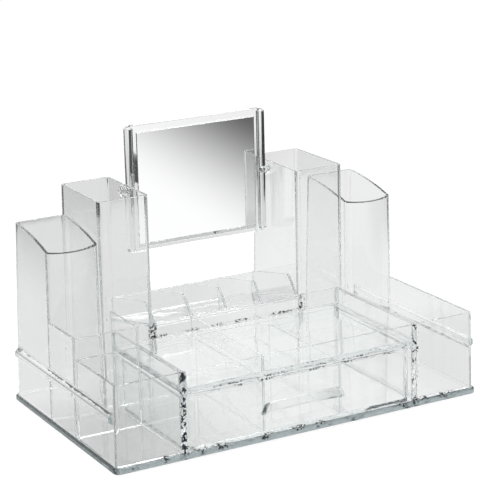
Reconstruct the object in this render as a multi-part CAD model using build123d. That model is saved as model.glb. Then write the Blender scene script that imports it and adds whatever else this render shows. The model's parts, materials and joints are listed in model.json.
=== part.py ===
from build123d import *
import math
import os

# Clear moulded make-up organizer: open tubs and towers bonded on one base plate, a drawer under
# two trays, a sloping rack between the towers and a mirror that turns between them.
# Millimetres. Origin at the centre of the base underside, +X right, +Y to the rear, +Z up.

# Body
BODY_WIDTH = 310.0
FRONT_Y = -97.0
WALL = 2.2
CORNER_R = 3.8
BUTT_CORNER_R = 1.0
INNER_CORNER_R = 0.6
SIDE_LEAN = 0.0167
REAR_LEAN = 0.055
BOND = 0.05
OVERCUT = 2.0

# Base plate
BASE_THICKNESS = 5.0
BASE_LIP = 2.0
BASE_CORNER_R = 5.0
BASE_TOP_BEVEL = 1.2
BASE_FOOT_BEVEL = 0.6

# Low modules along the front
LOW_RIM_Z = 66.7
MODULE_DEPTH = 115.2
SIDE_MODULE_WIDTH = 54.6
FRONT_TIER_DEPTH = 68.4
REAR_TIER_RIM_Z = 82.0

# Drawer housing, with the trays on top of it
SHELF_UNDERSIDE_Z = 50.0
SHELF_THICKNESS = 4.0
TRAY_DIVIDER_X = -33.5
TRAY_CORNER_R = 1.2

# Drawer
DRAWER_SIDE_GAP = 1.1
DRAWER_UNDER_GAP = 0.3
DRAWER_TOP_GAP = 1.4
DRAWER_DEPTH = 110.0
DRAWER_CORNER_R = 8.0
DRAWER_SHOULDER_R = 4.5
TUNNEL_SHOULDER_R = 5.0
DRAWER_DIVIDER_X = 33.2
DRAWER_DIVIDER_DROP = 2.0

# Drawer pull, an arched band
PULL_SPAN = 73.0
PULL_REACH = 11.0
PULL_RISE = 6.0
PULL_FOOT_Z = 25.0
PULL_BAND = 7.8
PULL_THICKNESS = 3.2
PULL_BEVEL = 0.9

# Tall bins in the rear corners, a step narrower than the modules in front of them
BIN_STEP = 9.6
BIN_DEPTH = 67.8
BIN_BOW = 5.0
BIN_REAR_Z = 146.6
BIN_FRONT_Z = 136.0
BIN_RIM_ARC = 2.2

# Towers that carry the mirror
TOWER_GAP = 2.0
TOWER_WIDTH = 42.6
TOWER_SETBACK = 0.7
TOWER_DEPTH = 79.9
TOWER_RIM_Z = 168.3

# Sloping rack between the towers
RACK_REAR_Z = 67.0
RACK_FLOOR_REAR_Z = 50.0
RACK_FLOOR_FRONT_Z = 65.0
RACK_DEPTH = 74.0
RACK_NOSE_R = 1.6
RACK_SIDE_GAP = 0.2
DIVIDER_PITCH = 31.8
DIVIDER_HEIGHT = 18.0
DIVIDER_TOP_SETBACK = 12.0
DIVIDER_ROUND = 5.0

# Beads along the outer side walls
BEAD_FOOT_Z = 36.0
BEAD_HEIGHT = 10.5
BEAD_PROUD = 3.4
BEAD_LOW_SLOPE = 2.4
BEAD_HIGH_SLOPE = 4.4
BEAD_ROUND = 1.4
BEAD_END_SETBACK = 1.0

# Mirror
PIVOT_DROP = 6.6
PIVOT_Y = 65.2
MIRROR_SIDE_GAP = 3.0
MIRROR_HEIGHT = 103.0
RAIL_WIDTH = 7.0
RAIL_DEPTH = 7.0
RAIL_ROUND = 2.8
RAIL_END_BEVEL = 1.6
RAIL_SHORTER = 2.4
FRAME_THICKNESS = 4.0
FRAME_TONGUE = 2.0
FRAME_ROUND = 0.9
PLATE_SIDE_MARGIN = 3.0
PLATE_TOP_MARGIN = 6.6
PLATE_BOTTOM_MARGIN = 3.8
PLATE_THICKNESS = 1.8
BACKING_THICKNESS = 0.6

# Pivot pins
PIN_R = 2.5
PIN_PLAY = 0.06
PIN_SHANK = 4.2
PIN_FLANGE_R = 4.7
PIN_FLANGE_PLAY = 0.3
PIN_TAIL = 0.9
PIN_CHAMFER = 0.4

# Worked-out places
HALF = BODY_WIDTH / 2
FOOT_Z = BASE_THICKNESS + BOND
MODULE_REAR_Y = FRONT_Y + MODULE_DEPTH
BIN_WIDTH = SIDE_MODULE_WIDTH - BIN_STEP
BIN_FRONT_Y = MODULE_REAR_Y + BOND
BIN_REAR_Y = BIN_FRONT_Y + BIN_DEPTH
TOWER_OUTER_X = HALF - BIN_WIDTH - TOWER_GAP
TOWER_INNER_X = TOWER_OUTER_X - TOWER_WIDTH
TOWER_FRONT_Y = MODULE_REAR_Y + TOWER_SETBACK
TOWER_REAR_Y = TOWER_FRONT_Y + TOWER_DEPTH
HOUSING_HALF = HALF - SIDE_MODULE_WIDTH - BOND
SHELF_TOP_Z = SHELF_UNDERSIDE_Z + SHELF_THICKNESS
DRAWER_HALF = HOUSING_HALF - WALL - DRAWER_SIDE_GAP
DRAWER_FLOOR_Z = BASE_THICKNESS + DRAWER_UNDER_GAP
DRAWER_RIM_Z = SHELF_UNDERSIDE_Z - DRAWER_TOP_GAP
PIVOT_Z = TOWER_RIM_Z - PIVOT_DROP
MIRROR_HALF = TOWER_INNER_X - MIRROR_SIDE_GAP
MIRROR_LOW_Z = PIVOT_Z - MIRROR_HEIGHT / 2
RAIL_INNER_X = MIRROR_HALF - RAIL_WIDTH
FRAME_HALF = RAIL_INNER_X + FRAME_TONGUE - BOND
PLATE_HALF = RAIL_INNER_X - PLATE_SIDE_MARGIN
RECESS_DEPTH = PLATE_THICKNESS + BACKING_THICKNESS + 2 * BOND
RACK_HALF = TOWER_INNER_X - RACK_SIDE_GAP
RACK_FRONT_Y = MODULE_REAR_Y + BOND
RACK_REAR_Y = RACK_FRONT_Y + RACK_DEPTH
RACK_SLOPE = (RACK_FLOOR_FRONT_Z - RACK_FLOOR_REAR_Z) / RACK_DEPTH


def slab(x0, x1, y0, y1, z0, z1, corner=0.0):
    """Upright block between two corners, its vertical edges rounded."""
    centre = Plane(((x0 + x1) / 2, (y0 + y1) / 2, z0))
    outline = RectangleRounded(x1 - x0, y1 - y0, corner) if corner else Rectangle(x1 - x0, y1 - y0)
    return extrude(centre * outline, z1 - z0)


def prism_x(points, x0, x1, rounds=None):
    """Profile of (y, z) points extruded along X; rounds maps a point's index to its radius."""
    face = make_face(Polyline(*[(x0, y, z) for y, z in points], close=True))
    for index, radius in (rounds or {}).items():
        y, z = points[index]
        corner = face.vertices().sort_by_distance((x0, y, z))[0]
        face = fillet(corner, radius)
    return extrude(face, x1 - x0, dir=(1, 0, 0))


def prism_y(points, y0, y1):
    """Profile of (x, z) points extruded along Y."""
    face = make_face(Polyline(*[(x, y0, z) for x, z in points], close=True))
    return extrude(face, y1 - y0, dir=(0, 1, 0))


def shouldered(half, y0, y1, z0, z1, shoulder):
    """Block along Y with its two upper edges rounded."""
    centre = Plane((0, y0, (z0 + z1) / 2), x_dir=(1, 0, 0), z_dir=(0, 1, 0))
    face = centre * Rectangle(2 * half, z1 - z0)
    face = fillet(face.vertices().sort_by(Axis.Z)[-2:], shoulder)
    return extrude(face, y1 - y0, dir=(0, 1, 0))


def stands(edge):
    """True of an edge that rises more than it runs along."""
    along = edge % 0.5
    return abs(along.Z) > math.hypot(along.X, along.Y)


def tub_body(inset, low_z, high_z, x0, x1, y0, y1, lean_left=0.0, lean_right=0.0, lean_rear=0.0, butt=0):
    """Filled body of a leaning tub, inset from its walls; its butt side has tight corners."""
    rises = (low_z - FOOT_Z, high_z - FOOT_Z)
    left = [x0 + inset + lean_left * rise for rise in rises]
    right = [x1 - inset - lean_right * rise for rise in rises]
    rear = [y1 - inset - lean_rear * rise for rise in rises]
    front = y0 + inset
    across = [(left[0], low_z), (right[0], low_z), (right[1], high_z), (left[1], high_z)]
    along = [(front, low_z), (rear[0], low_z), (rear[1], high_z), (front, high_z)]
    body = prism_y(across, front, max(rear)) & prism_x(along, min(left), max(right))
    corner = max(CORNER_R - inset, INNER_CORNER_R)
    tight = max(BUTT_CORNER_R - inset, INNER_CORNER_R)
    left_radius = tight if butt < 0 else corner
    right_radius = tight if butt > 0 else corner
    body = fillet(body.edges().filter_by(stands).sort_by(Axis.X)[:2], left_radius)
    return fillet(body.edges().filter_by(stands).sort_by(Axis.X)[-2:], right_radius)


def tub(top_z, **walls):
    """Open tube standing on the base, one wall thick all round."""
    core = tub_body(WALL, FOOT_Z - OVERCUT, top_z + OVERCUT, **walls)
    return tub_body(0.0, FOOT_Z, top_z, **walls) - core


def pocket(top_z, behind, **walls):
    """Tub without its rear wall: the bowed front of the bin behind closes it."""
    rear_y = walls["y1"]
    longer = dict(walls, y1=rear_y + WALL + CORNER_R)
    low = FOOT_Z - OVERCUT
    keep = slab(-BODY_WIDTH, BODY_WIDTH, walls["y0"] - OVERCUT, rear_y, low, top_z + OVERCUT)
    return (tub(top_z, **longer) & keep) - behind


def base_plate():
    """Plate under everything, a lip wider than the walls, stepped back behind the towers."""
    half = HALF + BASE_LIP
    front = FRONT_Y - BASE_LIP
    wide_rear = BIN_REAR_Y + BASE_LIP
    narrow_half = TOWER_OUTER_X + BASE_LIP
    narrow_rear = TOWER_REAR_Y + BASE_LIP
    wide = Pos(0, (front + wide_rear) / 2) * Rectangle(2 * half, wide_rear - front)
    narrow = Pos(0, (front + narrow_rear) / 2) * Rectangle(2 * narrow_half, narrow_rear - front)
    outline = wide + narrow
    outline = fillet(outline.vertices(), BASE_CORNER_R)
    plate = extrude(outline, BASE_THICKNESS)
    plate = chamfer(plate.faces().sort_by(Axis.Z)[-1].edges(), BASE_TOP_BEVEL)
    return chamfer(plate.faces().sort_by(Axis.Z)[0].edges(), BASE_FOOT_BEVEL)


def bin_body(inset, low_z, high_z):
    """Left bin's filled body, inset from its outer faces: bowed front, outer side and rear leaning in."""
    low_x = -HALF + inset
    high_x = -HALF + BIN_WIDTH - inset
    low_y = BIN_FRONT_Y + inset
    side_x = [low_x + SIDE_LEAN * (z - FOOT_Z) for z in (low_z, high_z)]
    rear_y = [BIN_REAR_Y - inset - REAR_LEAN * (z - FOOT_Z) for z in (low_z, high_z)]
    wide_x = min(side_x)
    deep_y = max(rear_y)
    bow = ThreePointArc((wide_x, low_y), ((wide_x + high_x) / 2, low_y - BIN_BOW), (high_x, low_y))
    sides = Polyline((high_x, low_y), (high_x, deep_y), (wide_x, deep_y), (wide_x, low_y))
    upright = extrude(Plane((0, 0, low_z)) * make_face(bow + sides), high_z - low_z)
    front = low_y - BIN_BOW - OVERCUT
    far_x = high_x + OVERCUT
    rear_lean = [(front, low_z), (rear_y[0], low_z), (rear_y[1], high_z), (front, high_z)]
    side_lean = [(side_x[0], low_z), (far_x, low_z), (far_x, high_z), (side_x[1], high_z)]
    return upright & prism_x(rear_lean, wide_x, far_x) & prism_y(side_lean, front, deep_y)


def rounded_bin_body(inset, low_z, high_z):
    """Filled bin body, inset from its outer faces, with its upright edges rounded."""
    body = bin_body(inset, low_z, high_z)
    return fillet(body.edges().filter_by(stands), CORNER_R - inset)


def bin_room():
    """Space that the left bin takes up, one film of cement larger all round."""
    return rounded_bin_body(-BOND, FOOT_Z - OVERCUT, BIN_REAR_Z)


def bin_rim_cutter():
    """Space above the bin's rim, which falls from the rear to the front in a shallow arch."""
    rear = (BIN_REAR_Y - REAR_LEAN * (BIN_REAR_Z - FOOT_Z), BIN_REAR_Z)
    front = (BIN_FRONT_Y, BIN_FRONT_Z)
    fall = Vector(front[0] - rear[0], front[1] - rear[1]).normalized()
    middle = ((rear[0] + front[0]) / 2, (rear[1] + front[1]) / 2 + BIN_RIM_ARC)
    past_rear = (rear[0] + OVERCUT * 4, BIN_REAR_Z)
    past_front = (front[0] - BIN_BOW * 3, front[1] + fall.Y / abs(fall.X) * BIN_BOW * 4)
    high = BIN_REAR_Z + 4 * OVERCUT
    arch = ThreePointArc(rear, middle, front)
    edges = [Line(past_rear, rear), arch, Line(front, past_front)]
    edges.append(Polyline(past_front, (past_front[0], high), (past_rear[0], high), past_rear))
    face = make_face(edges)
    side = Plane((-HALF - OVERCUT, 0, 0), x_dir=(0, 1, 0), z_dir=(1, 0, 0))
    return extrude(side * face, BIN_WIDTH + 2 * OVERCUT)


def left_bin():
    """Tall tub with a bowed front wall and an arched rim."""
    outer = rounded_bin_body(0.0, FOOT_Z, BIN_REAR_Z)
    core = rounded_bin_body(WALL, FOOT_Z - OVERCUT, BIN_REAR_Z + OVERCUT)
    return outer - core - bin_rim_cutter()


def left_tower():
    """Tall rectangular tub with the pivot hole in the wall beside the mirror."""
    shell = tub(
        TOWER_RIM_Z,
        x0=-TOWER_OUTER_X,
        x1=-TOWER_INNER_X,
        y0=TOWER_FRONT_Y,
        y1=TOWER_REAR_Y,
        lean_rear=REAR_LEAN,
    )
    across = Plane((-TOWER_INNER_X - 2 * WALL, PIVOT_Y, PIVOT_Z), z_dir=(1, 0, 0))
    return shell - extrude(across * Circle(PIN_R + PIN_PLAY), 3 * WALL)


def front_tier():
    """Low tub at the front left."""
    return tub(
        LOW_RIM_Z,
        x0=-HALF,
        x1=-HALF + SIDE_MODULE_WIDTH,
        y0=FRONT_Y,
        y1=FRONT_Y + FRONT_TIER_DEPTH,
        lean_left=SIDE_LEAN,
        butt=1,
    )


def rear_tier():
    """Step behind the front tier, a little higher, closed by the bin behind it."""
    return pocket(
        REAR_TIER_RIM_Z,
        bin_room(),
        x0=-HALF,
        x1=-HALF + SIDE_MODULE_WIDTH,
        y0=FRONT_Y + FRONT_TIER_DEPTH + BOND,
        y1=MODULE_REAR_Y,
        lean_left=SIDE_LEAN,
        butt=1,
    )


def right_box():
    """Long open box at the right, closed by the bin behind it."""
    return pocket(
        LOW_RIM_Z,
        mirrored(bin_room()),
        x0=HALF - SIDE_MODULE_WIDTH,
        x1=HALF,
        y0=FRONT_Y,
        y1=MODULE_REAR_Y,
        lean_right=SIDE_LEAN,
        butt=-1,
    )


def drawer_housing():
    """Shell with the drawer's tunnel below its shelf and the trays above it."""
    rear_y = MODULE_REAR_Y
    block = slab(-HOUSING_HALF, HOUSING_HALF, FRONT_Y, rear_y, FOOT_Z, LOW_RIM_Z, BUTT_CORNER_R)
    inner = HOUSING_HALF - WALL
    inner_rear = rear_y - WALL
    low = FOOT_Z - OVERCUT
    tunnel = shouldered(inner, FRONT_Y - OVERCUT, inner_rear, low, SHELF_UNDERSIDE_Z, TUNNEL_SHOULDER_R)
    tray_front = FRONT_Y + WALL
    tray = slab(-inner, inner, tray_front, inner_rear, SHELF_TOP_Z, LOW_RIM_Z + OVERCUT, TRAY_CORNER_R)
    return block - tunnel - tray


def tray_divider():
    """Wall that parts the narrow tray from the wide one."""
    front = FRONT_Y + WALL + BOND
    rear = MODULE_REAR_Y - WALL - BOND
    half = WALL / 2
    return slab(TRAY_DIVIDER_X - half, TRAY_DIVIDER_X + half, front, rear, SHELF_TOP_Z + BOND, LOW_RIM_Z)


def rack_floor_z(y):
    """Height of the rack's sloping floor at y."""
    return RACK_FLOOR_REAR_Z + (RACK_REAR_Y - y) * RACK_SLOPE


def rack_rear_y(z):
    """Inner face of the rack's leaning rear wall at height z."""
    return RACK_REAR_Y - REAR_LEAN * (z - RACK_FLOOR_REAR_Z)


def compact_rack():
    """Channel with a sloping floor and an upstanding rear wall."""
    outer = [
        (RACK_FRONT_Y, FOOT_Z),
        (RACK_FRONT_Y, RACK_FLOOR_FRONT_Z),
        (RACK_REAR_Y, RACK_FLOOR_REAR_Z),
        (rack_rear_y(RACK_REAR_Z), RACK_REAR_Z),
        (rack_rear_y(RACK_REAR_Z) + WALL, RACK_REAR_Z),
        (rack_rear_y(FOOT_Z) + WALL, FOOT_Z),
    ]
    under = WALL * math.sqrt(1 + RACK_SLOPE * RACK_SLOPE)
    hollow_front = RACK_FRONT_Y + WALL
    hollow_low = FOOT_Z - OVERCUT
    hollow_high = RACK_FLOOR_REAR_Z - under
    hollow = [
        (hollow_front, hollow_low),
        (hollow_front, rack_floor_z(hollow_front) - under),
        (rack_rear_y(hollow_high), rack_floor_z(rack_rear_y(hollow_high)) - under),
        (rack_rear_y(hollow_low), hollow_low),
    ]
    shell = prism_x(outer, -RACK_HALF, RACK_HALF, {1: RACK_NOSE_R})
    return shell - prism_x(hollow, -RACK_HALF - OVERCUT, RACK_HALF + OVERCUT)


def rack_fin(x):
    """Upright fin of the rack, standing on its floor: top parallel to it, steep front edge."""
    front = RACK_FRONT_Y + RACK_NOSE_R
    top_front = front + DIVIDER_TOP_SETBACK
    rear_foot_z = RACK_FLOOR_REAR_Z + BOND
    rear_y = rack_rear_y(rear_foot_z + DIVIDER_HEIGHT) - 2 * BOND
    points = [
        (front, rack_floor_z(front) + BOND),
        (rear_y, rack_floor_z(rear_y) + BOND),
        (rear_y, rack_floor_z(rear_y) + DIVIDER_HEIGHT),
        (top_front, rack_floor_z(top_front) + DIVIDER_HEIGHT),
    ]
    return prism_x(points, x - WALL / 2, x + WALL / 2, {3: DIVIDER_ROUND})


def rack_dividers():
    """Three fins that part the rack into four slots."""
    return [rack_fin(step * DIVIDER_PITCH) for step in (-1, 0, 1)]


def rack_end_cheeks():
    """Fins at the rack's two ends, against the towers."""
    end = RACK_HALF - WALL / 2
    return [rack_fin(-end), rack_fin(end)]


def left_bead():
    """Ridge along the outer side wall, to lift the organizer by."""
    def wall_x(z):
        return -HALF + SIDE_LEAN * (z - FOOT_Z) - BOND

    high = BEAD_FOOT_Z + BEAD_HEIGHT
    points = [
        (wall_x(BEAD_FOOT_Z), BEAD_FOOT_Z),
        (wall_x(BEAD_FOOT_Z) - BEAD_PROUD, BEAD_FOOT_Z + BEAD_LOW_SLOPE),
        (wall_x(BEAD_FOOT_Z) - BEAD_PROUD, high - BEAD_HIGH_SLOPE),
        (wall_x(high), high),
    ]
    front = FRONT_Y + CORNER_R + BEAD_END_SETBACK
    rear = BIN_REAR_Y - REAR_LEAN * high - CORNER_R - BEAD_END_SETBACK
    face = make_face(Polyline(*[(x, front, z) for x, z in points], close=True))
    outer = face.vertices().sort_by(Axis.X)[0:2]
    return extrude(fillet(outer, BEAD_ROUND), rear - front, dir=(0, 1, 0))


def drawer_box():
    """Moulded drawer, open at the top, with round corners and round shoulders."""
    half = DRAWER_HALF
    rear = FRONT_Y + DRAWER_DEPTH
    block = slab(-half, half, FRONT_Y, rear, DRAWER_FLOOR_Z, DRAWER_RIM_Z, DRAWER_CORNER_R)
    inside = slab(
        -half + WALL,
        half - WALL,
        FRONT_Y + WALL,
        rear - WALL,
        DRAWER_FLOOR_Z + WALL,
        DRAWER_RIM_Z + OVERCUT,
        DRAWER_CORNER_R - WALL,
    )
    envelope = shouldered(half, FRONT_Y, rear, DRAWER_FLOOR_Z, DRAWER_RIM_Z, DRAWER_SHOULDER_R)
    return (block & envelope) - inside


def drawer_dividers():
    """Two cross walls in the drawer, giving three compartments."""
    front = FRONT_Y + WALL + BOND
    rear = FRONT_Y + DRAWER_DEPTH - WALL - BOND
    low = DRAWER_FLOOR_Z + WALL + BOND
    high = DRAWER_RIM_Z - DRAWER_DIVIDER_DROP
    half = WALL / 2
    places = (-DRAWER_DIVIDER_X, DRAWER_DIVIDER_X)
    return [slab(x - half, x + half, front, rear, low, high) for x in places]


def drawer_pull():
    """Bevelled band that arches out of the drawer front and up between two feet."""
    half = PULL_SPAN / 2
    inside = PULL_THICKNESS
    foot_z = PULL_FOOT_Z - inside * PULL_RISE / PULL_REACH
    left = Vector(-half, FRONT_Y + inside, foot_z)
    right = Vector(half, FRONT_Y + inside, foot_z)
    top = Vector(0, FRONT_Y - PULL_REACH, PULL_FOOT_Z + PULL_RISE)
    arch = ThreePointArc(left, top, right)
    across = Vector(0, PULL_RISE, PULL_REACH)
    outline = Rectangle(PULL_BAND, PULL_THICKNESS)
    outline = chamfer(outline.vertices(), PULL_BEVEL)
    section = Plane(arch @ 0, x_dir=across, z_dir=arch % 0) * outline
    centre = arch.arc_center
    turn = (left - centre).get_angle(right - centre)
    band = revolve(section, axis=Axis(centre, across), revolution_arc=turn)
    behind = slab(-PULL_SPAN, PULL_SPAN, FRONT_Y - BOND, FRONT_Y + PULL_SPAN, 0, LOW_RIM_Z)
    return band - behind


def left_rail():
    """Round-edged upright at the side of the mirror, grooved for the frame and bored for its pin."""
    low = MIRROR_LOW_Z + RAIL_SHORTER / 2
    high = MIRROR_LOW_Z + MIRROR_HEIGHT - RAIL_SHORTER / 2
    front = PIVOT_Y - RAIL_DEPTH / 2
    post = slab(-MIRROR_HALF, -RAIL_INNER_X, front, front + RAIL_DEPTH, low, high, RAIL_ROUND)
    ends = post.faces().sort_by(Axis.Z)[0].edges() + post.faces().sort_by(Axis.Z)[-1].edges()
    post = chamfer(ends, RAIL_END_BEVEL)
    slot_half = FRAME_THICKNESS / 2 + BOND
    groove = slab(
        -RAIL_INNER_X - FRAME_TONGUE,
        -RAIL_INNER_X + OVERCUT,
        PIVOT_Y - slot_half,
        PIVOT_Y + slot_half,
        low - OVERCUT,
        high + OVERCUT,
    )
    start = Plane((-MIRROR_HALF - OVERCUT, PIVOT_Y, PIVOT_Z), z_dir=(1, 0, 0))
    bore = extrude(start * Circle(PIN_R + BOND), OVERCUT + PIN_SHANK + BOND)
    return post - groove - bore


def mirror_frame():
    """Clear plate between the uprights, with a recess in its front for the mirror."""
    half_depth = FRAME_THICKNESS / 2
    high = MIRROR_LOW_Z + MIRROR_HEIGHT
    front = PIVOT_Y - half_depth
    plate = slab(-FRAME_HALF, FRAME_HALF, front, PIVOT_Y + half_depth, MIRROR_LOW_Z, high)
    long_edges = plate.edges().filter_by(Axis.X)
    plate = fillet(long_edges, FRAME_ROUND)
    edge = PLATE_HALF + BOND
    recess = slab(
        -edge,
        edge,
        front - OVERCUT,
        front + RECESS_DEPTH,
        MIRROR_LOW_Z + PLATE_BOTTOM_MARGIN - BOND,
        high - PLATE_TOP_MARGIN + BOND,
    )
    return plate - recess


def mirror_sheet(y0, thickness):
    """Flat sheet that fills the frame's recess."""
    low = MIRROR_LOW_Z + PLATE_BOTTOM_MARGIN
    high = MIRROR_LOW_Z + MIRROR_HEIGHT - PLATE_TOP_MARGIN
    return slab(-PLATE_HALF, PLATE_HALF, y0, y0 + thickness, low, high)


def mirror_plate():
    """Silvered plate, flush with the frame's front."""
    return mirror_sheet(PIVOT_Y - FRAME_THICKNESS / 2, PLATE_THICKNESS)


def mirror_backing():
    """Protective sheet behind the silvered plate."""
    return mirror_sheet(PIVOT_Y - FRAME_THICKNESS / 2 + PLATE_THICKNESS + BOND, BACKING_THICKNESS)


def left_pin():
    """Pivot pin: shank in the upright, flange as a washer, journal through the tower wall."""
    tip = -TOWER_INNER_X - WALL - PIN_TAIL
    flange_out = -TOWER_INNER_X + PIN_FLANGE_PLAY
    flange_in = -MIRROR_HALF - BOND
    shank_end = -MIRROR_HALF + PIN_SHANK
    outline = Polyline(
        (tip, 0),
        (tip, PIN_R - PIN_CHAMFER),
        (tip + PIN_CHAMFER, PIN_R),
        (flange_out, PIN_R),
        (flange_out, PIN_FLANGE_R),
        (flange_in, PIN_FLANGE_R),
        (flange_in, PIN_R),
        (shank_end, PIN_R),
        (shank_end, 0),
        close=True,
    )
    return Pos(0, PIVOT_Y, PIVOT_Z) * revolve(make_face(outline), axis=Axis.X)


def mirrored(piece):
    """The same piece at the right."""
    return mirror(piece, about=Plane.YZ)


def pieces():
    """Every node of the organizer with its solids."""
    bin_left = left_bin()
    tower_left = left_tower()
    bead_left = left_bead()
    rail_left = left_rail()
    pin_left = left_pin()
    return {
        "base_plate": base_plate(),
        "left_bin": bin_left,
        "right_bin": mirrored(bin_left),
        "left_tower": tower_left,
        "right_tower": mirrored(tower_left),
        "front_tier": front_tier(),
        "rear_tier": rear_tier(),
        "right_box": right_box(),
        "drawer_housing": drawer_housing(),
        "tray_divider": tray_divider(),
        "compact_rack": compact_rack(),
        "rack_dividers": Compound(children=rack_dividers()),
        "rack_end_cheeks": Compound(children=rack_end_cheeks()),
        "left_grip_bead": bead_left,
        "right_grip_bead": mirrored(bead_left),
        "drawer_box": drawer_box(),
        "drawer_dividers": Compound(children=drawer_dividers()),
        "drawer_pull": drawer_pull(),
        "mirror_frame": mirror_frame(),
        "left_mirror_rail": rail_left,
        "right_mirror_rail": mirrored(rail_left),
        "mirror_plate": mirror_plate(),
        "mirror_backing": mirror_backing(),
        "left_pivot_pin": pin_left,
        "right_pivot_pin": mirrored(pin_left),
    }


os.makedirs("parts", exist_ok=True)
for node, shape in pieces().items():
    export_step(shape, f"parts/{node}.step")
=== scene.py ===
import bpy
import json
from math import pi, radians
from mathutils import Matrix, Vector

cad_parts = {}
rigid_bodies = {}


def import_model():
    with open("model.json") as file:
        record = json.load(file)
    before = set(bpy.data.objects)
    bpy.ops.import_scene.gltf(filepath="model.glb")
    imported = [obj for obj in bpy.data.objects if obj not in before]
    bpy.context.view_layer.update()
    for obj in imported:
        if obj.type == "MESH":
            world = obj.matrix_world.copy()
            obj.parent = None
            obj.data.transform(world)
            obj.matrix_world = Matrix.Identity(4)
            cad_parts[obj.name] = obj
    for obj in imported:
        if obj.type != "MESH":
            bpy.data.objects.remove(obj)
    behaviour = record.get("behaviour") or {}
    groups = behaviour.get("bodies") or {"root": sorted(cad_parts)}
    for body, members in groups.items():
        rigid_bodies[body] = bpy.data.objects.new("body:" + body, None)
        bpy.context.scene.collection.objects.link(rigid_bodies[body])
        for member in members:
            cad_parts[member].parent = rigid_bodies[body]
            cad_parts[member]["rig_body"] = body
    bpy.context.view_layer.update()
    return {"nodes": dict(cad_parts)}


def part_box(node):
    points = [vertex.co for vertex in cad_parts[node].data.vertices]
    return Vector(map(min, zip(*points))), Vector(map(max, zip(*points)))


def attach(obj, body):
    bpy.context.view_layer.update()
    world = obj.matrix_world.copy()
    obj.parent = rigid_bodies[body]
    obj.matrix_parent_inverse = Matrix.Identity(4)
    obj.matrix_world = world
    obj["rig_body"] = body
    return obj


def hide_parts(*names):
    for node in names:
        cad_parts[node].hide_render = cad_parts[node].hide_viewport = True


# A clear moulded make-up organizer: tubs, towers, trays, a drawer and a mirror that turns.
# Metres. Every moulding is a copy of its solid, welded, with its edges rounded off.

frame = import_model()

# Rounding of the moulded edges
RIM_ROUND = 0.0004
BIN_ROUND = 0.00016
FIN_ROUND = 0.0004
PLATE_ROUND = 0.0009
BAND_ROUND = 0.0007
SHEET_ROUND = 0.00025
ROUND_STEPS = 3
SHARP_ANGLE = radians(38)

# Welding and shading of the copied meshes
WELD_DISTANCE = 0.00005
FINE_WELD = 0.000002
FLAT_ANGLE = radians(0.4)
STRIP_ANGLE = radians(6)
SMOOTH_ANGLE = radians(42)
WALL_WEIGHT = 100

# The faces of a bin's arched rim lie above this height and look up at least this much
RIM_HEIGHT = 0.11
RIM_SLOPE = 0.5

# Bonded seams, placed by the solids that they join
HOUSING_LOW, HOUSING_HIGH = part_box("drawer_housing")
DRAWER_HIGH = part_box("drawer_box")[1]
DIVIDER_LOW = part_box("tray_divider")[0]
TOWER_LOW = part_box("right_tower")[0]
PLATE_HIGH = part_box("base_plate")[1]
SEAM_FRONT = HOUSING_LOW[1] + 0.0002
SEAM_REAR = (HOUSING_HIGH[1] + TOWER_LOW[1]) / 2
POST_SIDE = HOUSING_HIGH[0]
POST_TOP = (0.070, 0.066)
POST_REACH = 0.0036
FOOT_SIDE = TOWER_LOW[0] + 0.0018
FOOT_HEIGHT = 0.059
FOOT_HALF = (0.0071, 0.0055)
FOOT_REACH = 0.0040
DRAWER_EDGE_HALF = DRAWER_HIGH[0] + 0.0009
DRAWER_EDGE_HEIGHT = DRAWER_HIGH[2] + 0.0009
RACK_EDGE_HEIGHT = DIVIDER_LOW[2] - 0.0005
EDGE_REACH = 0.0026
PLATE_EDGE_HALF = PLATE_HIGH[0] - 0.004
PLATE_EDGE_FRONT = HOUSING_LOW[1] - 0.0005
PLATE_EDGE_HEIGHT = PLATE_HIGH[2] - 0.001
PLATE_REACH = 0.0034

# A seam is in full force over this share of its squared reach, and fades past this share of its squared
# half width
SEAM_CORE = 0.2
SEAM_END = 0.94

# Painted dark glints in the seams: grain in cells per metre, and the noise levels between which they set
# in
GLINT_GRAIN = 430.0
GLINT_LEVELS = (0.56, 0.59)
GLINT_THINNING = 0.5
EDGE_GLINT_GRAIN = 560.0
EDGE_GLINT_LEVELS = (0.52, 0.56)
CLUMP_GRAIN = 70.0
CLUMP_LEVELS = (0.50, 0.58)

# Waves of the clear plastic: grain in cells per metre, and height as a share of the depth
WAVE_DEPTH = 0.0005
FLOW_GRAIN = 38.0
FLOW_HEIGHT = 0.16
FINE_FLOW_GRAIN = 170.0
FINE_FLOW_HEIGHT = 0.04
SEAM_WAVE_GRAIN = 260.0
SEAM_WAVE_HEIGHT = 1.2
PLASTIC_IOR = 1.56

# Camera of the photograph
CAMERA_PLACE = (-0.6794, -1.2454, 0.5280)
CAMERA_AZIMUTH = radians(-28.7)
CAMERA_ELEVATION = radians(15.8)
CAMERA_ROLL = radians(-1.44)
CAMERA_LENS = 142.76
CAMERA_SENSOR = 36.0

# Studio
FLOOR_SIZE = 12.0
FLOOR_DROP = 0.0004
FLOOR_WHITE = 1.1
FLOOR_WHITE_SHARE = 0.8
LIGHT_BOUNCES = 256
GLOSS_BOUNCES = 64

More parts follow.
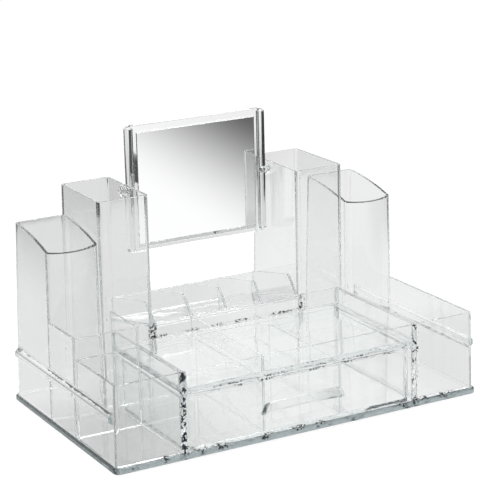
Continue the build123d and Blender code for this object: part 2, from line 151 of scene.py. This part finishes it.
# Borders on the table: each eases in from its first place to its second. Where a border runs aslant, its
# turn is how far it shifts to the left for each metre to the back.
FRONT_CORNER = (0.16, 0.43)
FRONT_CORNER_TURN = 0.133
FRONT_CORNER_BACK = (-0.05, -0.28)
LEFT_END = (-0.27, -0.40)
RIGHT_END = (0.44, 0.56)
RIGHT_END_BACK = (0.5, 0.3)
LIT_SIDE = (-0.11, -0.01)
LIT_SIDE_TURN = -0.72
LEFT_SHADE = (0.0, -0.10)
LEFT_SHADE_BACK = (0.10, -0.02)
BOX_SHADE = (0.09, 0.16)
BOX_SHADE_BACK = (0.12, 0.03)
NEAR_STRIP = (-0.104, -0.118)
NEAR_STRIP_END = (-0.42, -0.34)
FAR_STRIP = (0.56, 0.62)
FAR_STRIP_RIGHT = (0.13, 0.07)
TABLE_END = (0.72, 0.75)
TABLE_END_RIGHT = (0.31, 0.28)
TABLE_STEP = (0.222, 0.238)
TABLE_STEP_DEPTH = 0.09
HORIZON = (0.75, 0.85)

# Tones of the table, as the plastic and the mirror show them: painted light on its lit side and horizon,
# painted shade and shadow elsewhere
TABLE_TONE = 0.75
LIT_TONE = 0.13
LEFT_SHADE_TONE = 0.30
BOX_SHADE_TONE = 0.11
HORIZON_TONE = 0.2
NEAR_DARKNESS = 0.3
TABLE_DARKNESS = 0.95
MIRRORED_DARKNESS = 0.88

# Borders and tones of the room, by direction
ROOM_SIDE = (0.3, 0.55)
ROOM_SIDE_TOP = (0.72, 0.5)
ROOM_FRONT = (0.45, -0.1)
ROOM_FRONT_TOP = (0.38, 0.1)
ROOM_DARKNESS = 0.9
ROOM_LIGHT = 0.75


class Wire:
    """A shader socket that takes part in Python sums: each operator adds a Math node."""

    def __init__(self, finish, socket):
        self.finish = finish
        self.socket = socket

    def maths(self, operation, *values):
        sockets = dict(enumerate(values))
        return self.finish.node("Math", {"operation": operation}, sockets)

    def __add__(self, other):
        return self.maths("ADD", self, other)

    def __radd__(self, other):
        return self.maths("ADD", other, self)

    def __sub__(self, other):
        return self.maths("SUBTRACT", self, other)

    def __rsub__(self, other):
        return self.maths("SUBTRACT", other, self)

    def __mul__(self, other):
        return self.maths("MULTIPLY", self, other)

    def __rmul__(self, other):
        return self.maths("MULTIPLY", other, self)

    def __pow__(self, other):
        return self.maths("POWER", self, other)

    def __abs__(self):
        return self.maths("ABSOLUTE", self)

    def at_least(self, other):
        return self.maths("MAXIMUM", self, other)


class Finish:
    """The node tree of a material or of the world."""

    def __init__(self, owner):
        owner.use_nodes = True
        self.tree = owner.node_tree
        self.tree.nodes.clear()

    def node(self, kind, settings=None, sockets=None, output=0):
        """Adds a node with its settings and its sockets' values or links, and gives one of its outputs."""
        made = self.tree.nodes.new("ShaderNode" + kind)
        for name, value in (settings or {}).items():
            setattr(made, name, value)
        for name, value in (sockets or {}).items():
            if isinstance(value, Wire):
                self.tree.links.new(value.socket, made.inputs[name])
            else:
                made.inputs[name].default_value = value
        return Wire(self, made.outputs[output]) if made.outputs else None

    def place(self):
        """Object coordinates of the shaded point."""
        return self.node("TexCoord", output="Object")

    def axis(self, name):
        """One Object coordinate, by its letter."""
        return self.node("SeparateXYZ", None, {"Vector": self.place()}, output=name)

    def noise(self, grain, detail=2.0):
        """Noise of that many cells per metre."""
        sockets = {"Vector": self.place(), "Scale": grain, "Detail": detail}
        return self.node("TexNoise", None, sockets, output="Fac")

    def bump(self, height, depth, strength=1.0):
        """A surface that waves by that height, as a share of the depth."""
        sockets = {"Strength": strength, "Distance": depth, "Height": height}
        return self.node("Bump", None, sockets, output="Normal")

    def blend(self, share, low, high):
        """A colour between two."""
        settings = {"data_type": "RGBA"}
        return self.node("Mix", settings, {0: share, 6: low, 7: high}, output=2)

    def ramp(self, value, low, high):
        """Nothing at the low value, one at the high one, eased between them."""
        settings = {"interpolation_type": "SMOOTHSTEP"}
        return self.node("MapRange", settings, {"Value": value, 1: low, 2: high})

    def near(self, squared, reach):
        """One at a squared distance of nothing, easing to nothing at that reach."""
        return self.ramp(squared, reach ** 2, SEAM_CORE * reach ** 2)

    def near_upright(self, side, depth, reach):
        """One beside an upright line at each side of the object."""
        across = (abs(self.axis("X")) - side) ** 2
        along = (self.axis("Y") - depth) ** 2
        return self.near(across + along, reach)

    def near_level(self, half, depth, height, reach):
        """One beside a level line across the object, easing to nothing past its ends."""
        along = (self.axis("Y") - depth) ** 2
        above = (self.axis("Z") - height) ** 2
        inside = self.ramp(self.axis("X") ** 2, half ** 2, SEAM_END * half ** 2)
        return self.near(along + above, reach) * inside

    def ray(self, kind):
        """One while the ray is of that kind."""
        return self.node("LightPath", output=f"Is {kind} Ray")

    def surface(self, shader, kind="OutputMaterial"):
        self.node(kind, None, {"Surface": shader})


def material(name):
    """A new material and its empty node tree."""
    made = bpy.data.materials.new(name)
    return made, Finish(made)


def upright_seams(finish):
    """One along the bonded posts at the drawer's sides and at the towers' feet."""
    height = finish.axis("Z")
    posts = finish.near_upright(POST_SIDE, SEAM_FRONT, POST_REACH) * finish.ramp(height, *POST_TOP)
    outer, inner = FOOT_HALF
    middle = finish.ramp((height - FOOT_HEIGHT) ** 2, outer ** 2, inner ** 2)
    feet = finish.near_upright(FOOT_SIDE, SEAM_REAR, FOOT_REACH) * middle
    return posts.at_least(feet)


def level_seams(finish):
    """One along the bonded edges over the drawer, behind the trays and on the base plate."""
    front = finish.near_level(DRAWER_EDGE_HALF, SEAM_FRONT, DRAWER_EDGE_HEIGHT, EDGE_REACH)
    rear = finish.near_level(FOOT_SIDE, SEAM_REAR, RACK_EDGE_HEIGHT, EDGE_REACH)
    foot = finish.near_level(PLATE_EDGE_HALF, PLATE_EDGE_FRONT, PLATE_EDGE_HEIGHT, PLATE_REACH)
    return front.at_least(rear).at_least(foot)


def painted_seam_glints(finish, upright, level):
    """One on the painted dark glints in the seams.

    Those in the posts thin out to the right, and those along the edges come in clumps.
    """
    grain = finish.noise(GLINT_GRAIN, detail=1.0) - GLINT_THINNING * finish.axis("X")
    post_glints = upright * finish.ramp(grain, *GLINT_LEVELS)
    clumps = finish.ramp(finish.noise(CLUMP_GRAIN, detail=1.0), *CLUMP_LEVELS)
    edge_glints = finish.ramp(finish.noise(EDGE_GLINT_GRAIN, detail=1.0), *EDGE_GLINT_LEVELS)
    return post_glints.at_least(level * clumps * edge_glints)


def clear_plastic(name, depth_tint, density):
    """Moulded clear plastic: faint waves, a faint haze, a tint by depth and painted dark glints in the
    seams.
    """
    made, finish = material(name)
    upright = upright_seams(finish)
    level = level_seams(finish)
    cloud = finish.noise(grain=9.0)
    flow = FLOW_HEIGHT * finish.noise(FLOW_GRAIN, detail=1.0)
    fine_flow = FINE_FLOW_HEIGHT * finish.noise(FINE_FLOW_GRAIN, detail=1.0)
    seam_waves = SEAM_WAVE_HEIGHT * upright.at_least(level) * finish.noise(SEAM_WAVE_GRAIN, detail=1.0)
    sockets = {
        "Base Color": finish.blend(cloud, (0.990, 0.996, 0.993, 1), (0.997, 1.0, 0.999, 1)),
        "Roughness": 0.001 + 0.006 * finish.noise(grain=420.0, detail=3.0),
        "IOR": PLASTIC_IOR,
        "Transmission Weight": 1.0,
        "Normal": finish.bump(flow + fine_flow + seam_waves, WAVE_DEPTH),
    }
    body = finish.node("BsdfPrincipled", None, sockets)
    # A near-black surface mixed in at the seams: painted dark glints, a painted reflection
    sockets = {"Base Color": (0.010, 0.016, 0.024, 1), "Roughness": 0.12}
    dark_glint = finish.node("BsdfPrincipled", None, sockets)
    glinted = painted_seam_glints(finish, upright, level)
    surface = finish.node("MixShader", None, {0: glinted, 1: body, 2: dark_glint})
    depth = finish.node("VolumeAbsorption", None, {"Color": depth_tint, "Density": density})
    finish.node("OutputMaterial", None, {"Surface": surface, "Volume": depth})
    return made


def mirror_silver():
    """Silvered plate: bright metal with hardly any haze."""
    made, finish = material("mirror_silver")
    cloud = finish.noise(grain=26.0, detail=3.0)
    sockets = {
        "Base Color": finish.blend(cloud, (0.985, 0.988, 0.99, 1), (0.998, 0.999, 1, 1)),
        "Metallic": 1.0,
        "Roughness": 0.002 + 0.006 * finish.noise(grain=500.0),
    }
    finish.surface(finish.node("BsdfPrincipled", None, sockets))
    return made


def backing_sheet():
    """Grey protective film behind the mirror: fine speckle and soft clouds."""
    made, finish = material("backing_sheet")
    cloud = finish.noise(grain=60.0, detail=4.0)
    speckle = finish.noise(grain=2600.0)
    mottle = cloud * 0.6 + speckle * 0.4
    sockets = {
        "Base Color": finish.blend(mottle, (0.36, 0.37, 0.38, 1), (0.52, 0.53, 0.54, 1)),
        "Metallic": 0.35,
        "Roughness": 0.42 + 0.16 * cloud,
        "Normal": finish.bump(speckle, depth=0.0001, strength=0.15),
    }
    finish.surface(finish.node("BsdfPrincipled", None, sockets))
    return made


CLEAR = clear_plastic("clear_plastic", depth_tint=(0.60, 0.71, 0.71, 1), density=2.4)
THICK = clear_plastic("thick_clear_plastic", depth_tint=(0.34, 0.44, 0.46, 1), density=6.0)
BAND = clear_plastic("band_clear_plastic", depth_tint=(0.36, 0.42, 0.42, 1), density=22.0)
SILVER = mirror_silver()
BACKING = backing_sheet()


def only(piece):
    """Makes one object the selected and active one."""
    bpy.ops.object.select_all(action="DESELECT")
    piece.select_set(True)
    bpy.context.view_layer.objects.active = piece


def welded(node, distance):
    """A copy of a solid's mesh, its loose triangles merged into whole faces."""
    piece = bpy.data.objects.new(node + "_moulding", frame["nodes"][node].data.copy())
    bpy.context.scene.collection.objects.link(piece)
    only(piece)
    bpy.ops.object.mode_set(mode="EDIT")
    bpy.ops.mesh.select_all(action="SELECT")
    bpy.ops.mesh.remove_doubles(threshold=distance)
    bpy.ops.mesh.dissolve_limited(angle_limit=FLAT_ANGLE)
    bpy.ops.mesh.tris_convert_to_quads(face_threshold=STRIP_ANGLE, shape_threshold=pi)
    bpy.ops.object.mode_set(mode="OBJECT")
    return piece


def smoothed(piece):
    """Shades the roundings smooth and the flat walls flat."""
    bpy.ops.object.shade_smooth_by_angle(angle=SMOOTH_ANGLE)
    bpy.ops.object.modifier_add(type="WEIGHTED_NORMAL")
    even = piece.modifiers[-1]
    even.weight = WALL_WEIGHT
    even.keep_sharp = True
    bpy.ops.object.modifier_apply(modifier=even.name)


def rounded(piece, width, roomy):
    """Rounds off the sharp edges: in full if the faces are roomy, else as far as they leave room."""
    bpy.ops.object.modifier_add(type="BEVEL")
    bevel = piece.modifiers[-1]
    bevel.width = width
    bevel.segments = ROUND_STEPS
    bevel.limit_method = "ANGLE"
    bevel.angle_limit = SHARP_ANGLE
    bevel.use_clamp_overlap = not roomy
    bevel.loop_slide = not roomy
    bpy.ops.object.modifier_apply(modifier=bevel.name)


def rim_rounded(piece, width):
    """Rounds off the inner and the outer outline of a bin's arched rim."""
    bpy.ops.object.mode_set(mode="EDIT")
    bpy.ops.mesh.select_mode(type="FACE")
    bpy.ops.mesh.select_all(action="DESELECT")
    bpy.ops.object.mode_set(mode="OBJECT")
    for face in piece.data.polygons:
        face.select = face.center.z > RIM_HEIGHT and face.normal.z > RIM_SLOPE
    bpy.ops.object.mode_set(mode="EDIT")
    bpy.ops.mesh.region_to_loop()
    bpy.ops.mesh.bevel(offset=width, segments=ROUND_STEPS, clamp_overlap=False, loop_slide=False)
    bpy.ops.object.mode_set(mode="OBJECT")


def finished(piece, node, finish):
    """Smooths a piece that stands for one solid, gives it its finish and lets it move with its body."""
    smoothed(piece)
    piece.data.materials.clear()
    piece.data.materials.append(finish)
    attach(piece, frame["nodes"][node]["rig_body"])
    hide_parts(node)


def moulding(node, width, finish=CLEAR, roomy=False):
    """A piece with all its sharp edges rounded off."""
    piece = welded(node, WELD_DISTANCE)
    rounded(piece, width, roomy)
    finished(piece, node, finish)


def bin_moulding(node):
    """A bin: its upright edges are round in the solid, so only its rim is rounded off."""
    piece = welded(node, FINE_WELD)
    rim_rounded(piece, BIN_ROUND)
    finished(piece, node, CLEAR)


BINS = ("left_bin", "right_bin")
TUBS = (
    "left_tower",
    "right_tower",
    "front_tier",
    "drawer_housing",
    "drawer_box",
    "compact_rack",
)
CUT_TUBS = ("rear_tier", "right_box")
FINS = ("tray_divider", "drawer_dividers", "mirror_frame")
BEADS = (
    "left_grip_bead",
    "right_grip_bead",
    "left_pivot_pin",
    "right_pivot_pin",
    "rack_dividers",
    "rack_end_cheeks",
)
BANDS = ("drawer_pull", "left_mirror_rail", "right_mirror_rail")

for node in BINS:
    bin_moulding(node)
for node in TUBS:
    moulding(node, RIM_ROUND, roomy=True)
for node in CUT_TUBS:
    moulding(node, RIM_ROUND)
for node in FINS:
    moulding(node, FIN_ROUND)
for node in BEADS:
    moulding(node, FIN_ROUND, THICK)
for node in BANDS:
    moulding(node, BAND_ROUND, BAND)
moulding("base_plate", PLATE_ROUND, THICK)
moulding("mirror_plate", SHEET_ROUND, SILVER)
moulding("mirror_backing", SHEET_ROUND, BACKING)


def table_ends(finish, right, back):
    """One on the painted shade at the dark front corner and the dark ends of the table."""
    corner = finish.ramp(right + FRONT_CORNER_TURN * back, *FRONT_CORNER)
    corner = corner * finish.ramp(back, *FRONT_CORNER_BACK)
    left_end = finish.ramp(right, *LEFT_END)
    right_end = finish.ramp(right, *RIGHT_END) * finish.ramp(back, *RIGHT_END_BACK)
    return corner.at_least(left_end).at_least(right_end)


def table_strips(finish, right, back):
    """One on the painted shade in dark strips along the far edge of the table, fainter on the painted
    shadow along the near edge.
    """
    far = finish.ramp(back, *FAR_STRIP) * finish.ramp(right, *FAR_STRIP_RIGHT)
    step = TABLE_STEP_DEPTH * finish.ramp(right, *TABLE_STEP)
    end = finish.ramp(back + step, *TABLE_END) * finish.ramp(right, *TABLE_END_RIGHT)
    near = finish.ramp(back, *NEAR_STRIP) * finish.ramp(back, *NEAR_STRIP_END)
    return far.at_least(end).at_least(NEAR_DARKNESS * near)


def table_light(finish, right, back):
    """How light the middle of the table is, by the shade that the object throws on it."""
    lit_side = finish.ramp(right + LIT_SIDE_TURN * back, *LIT_SIDE)
    left_shade = finish.ramp(right, *LEFT_SHADE) * finish.ramp(back, *LEFT_SHADE_BACK)
    box_shade = finish.ramp(right, *BOX_SHADE) * finish.ramp(back, *BOX_SHADE_BACK)
    horizon = finish.ramp(back, *HORIZON)
    light = TABLE_TONE + LIT_TONE * lit_side + HORIZON_TONE * horizon
    return light - LEFT_SHADE_TONE * left_shade - BOX_SHADE_TONE * box_shade


def studio_floor():
    """Plain pale floor, white to the camera but for the soft shadow.

    The mirror sees it glow with painted shade at its darker ends. The plastic sees it glow with painted
    light and shade: darker ends and strips, the object's shadow and a lit side.
    """
    bpy.ops.object.select_all(action="DESELECT")
    bpy.ops.mesh.primitive_plane_add(size=FLOOR_SIZE, location=(0, 0, -FLOOR_DROP))
    floor = bpy.context.object
    floor.name = "studio_floor"
    made, finish = material("pale_floor_with_painted_light")
    right = finish.axis("X")
    back = finish.axis("Y")
    # Painted light and shade on the glowing floor, seen only by the plastic and the mirror
    ends = table_ends(finish, right, back)
    dark = ends.at_least(table_strips(finish, right, back))
    under = table_light(finish, right, back) * (1 - TABLE_DARKNESS * dark)
    gloss = finish.ray("Glossy")
    through = finish.ray("Transmission")
    mirrored = gloss * (1 - through)
    tone = mirrored * (1 - MIRRORED_DARKNESS * ends) + through * under
    toned = finish.node("Emission", None, {"Color": (1, 1, 1, 1), "Strength": tone})
    lit = finish.node("BsdfDiffuse", None, {"Color": (0.85, 0.85, 0.85, 1)})
    white = finish.node("Emission", None, {"Color": (1, 1, 1, 1), "Strength": FLOOR_WHITE})
    plain = finish.node("MixShader", None, {0: FLOOR_WHITE_SHARE * finish.ray("Camera"), 1: lit, 2: white})
    finish.surface(finish.node("MixShader", None, {0: gloss.at_least(through), 1: plain, 2: toned}))
    floor.data.materials.append(made)


def studio_world():
    """White surround for the camera.

    The mirror and the plastic also show the dark front and sides of the room.
    """
    world = bpy.data.worlds.new("studio")
    bpy.context.scene.world = world
    finish = Finish(world)
    direction = {"Vector": finish.node("TexCoord", output="Generated")}
    right, back, up = (finish.node("SeparateXYZ", None, direction, output=name) for name in "XYZ")
    sides = finish.ramp(right * right, *ROOM_SIDE) * finish.ramp(up, *ROOM_SIDE_TOP)
    front = finish.ramp(back, *ROOM_FRONT) * finish.ramp(up, *ROOM_FRONT_TOP)
    seen = finish.ray("Camera")
    shown = finish.ray("Glossy").at_least(finish.ray("Transmission"))
    tone = shown * (1 - ROOM_DARKNESS * front.at_least(sides))
    strength = seen + tone + (1 - seen.at_least(shown)) * ROOM_LIGHT
    shader = finish.node("Background", None, {"Color": (1, 1, 1, 1), "Strength": strength})
    finish.surface(shader, "OutputWorld")


def softbox(name, place, turn, size, watts):
    """A rectangular soft light."""
    bpy.ops.object.light_add(type="AREA", location=place, rotation=turn)
    lamp = bpy.context.object
    lamp.name = name
    lamp.data.shape = "RECTANGLE"
    lamp.data.size, lamp.data.size_y = size
    lamp.data.energy = watts


def camera():
    """The photograph's camera."""
    bpy.ops.object.camera_add()
    eye = bpy.context.object
    eye.name = "camera"
    turn = Matrix.Rotation(CAMERA_AZIMUTH, 4, "Z")
    turn @= Matrix.Rotation(pi / 2 - CAMERA_ELEVATION, 4, "X")
    turn @= Matrix.Rotation(CAMERA_ROLL, 4, "Z")
    eye.matrix_world = Matrix.Translation(CAMERA_PLACE) @ turn
    eye.data.lens = CAMERA_LENS
    eye.data.sensor_width = CAMERA_SENSOR
    bpy.context.scene.camera = eye


studio_floor()
studio_world()
softbox("top_softbox", place=(0.18, 0.15, 1.1), turn=(0, 0, 0), size=(0.75, 0.7), watts=9.0)
softbox("left_softbox", place=(-1.1, 0.1, 0.7), turn=(0, radians(-62), 0), size=(0.5, 0.9), watts=7.0)
camera()

scene = bpy.context.scene
scene.view_settings.view_transform = "Standard"
scene.cycles.max_bounces = LIGHT_BOUNCES
scene.cycles.transmission_bounces = LIGHT_BOUNCES
scene.cycles.glossy_bounces = GLOSS_BOUNCES
